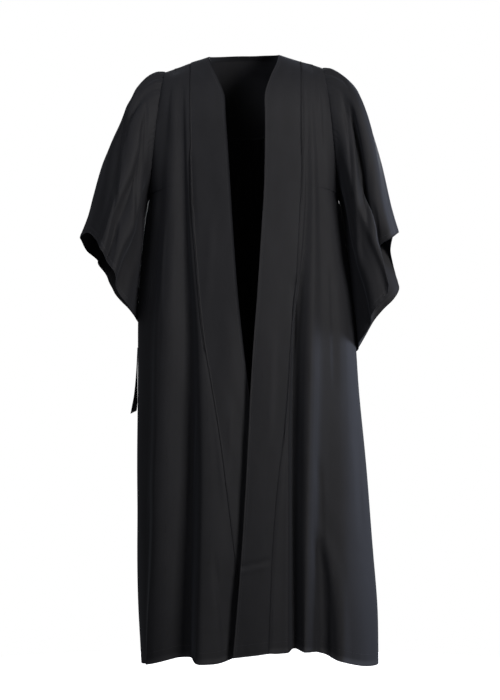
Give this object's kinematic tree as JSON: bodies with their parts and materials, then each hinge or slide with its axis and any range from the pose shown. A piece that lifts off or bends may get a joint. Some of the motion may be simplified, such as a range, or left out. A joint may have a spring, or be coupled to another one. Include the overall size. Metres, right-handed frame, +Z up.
{
  "type": "graduation gown",
  "caption": "Open-front graduation gown with wide front bands, a gathered back under a yoke and bell sleeves, kept in its hollow worn shape.",
  "frame": {"origin": "centre of the shoulders, on the line of the shoulder seams and at the height of the neck points, where the wearer's shoulders hold the gown", "axes": "+Z up, the front faces -Y, +X to the wearer's left"},
  "size_m": [0.6741, 0.3817, 1.2767],
  "materials": {
    "gown_cloth": "matte black woven polyester",
    "tape": "matte black woven tape"
  },
  "bodies": {
    "root": {"yoke": "gown_cloth", "back": "gown_cloth", "front_right": "gown_cloth", "front_left": "gown_cloth", "band_right": "gown_cloth", "band_left": "gown_cloth", "sleeve_right": "gown_cloth", "sleeve_left": "gown_cloth", "side_tape": "tape"}
  },
  "joints": []
}
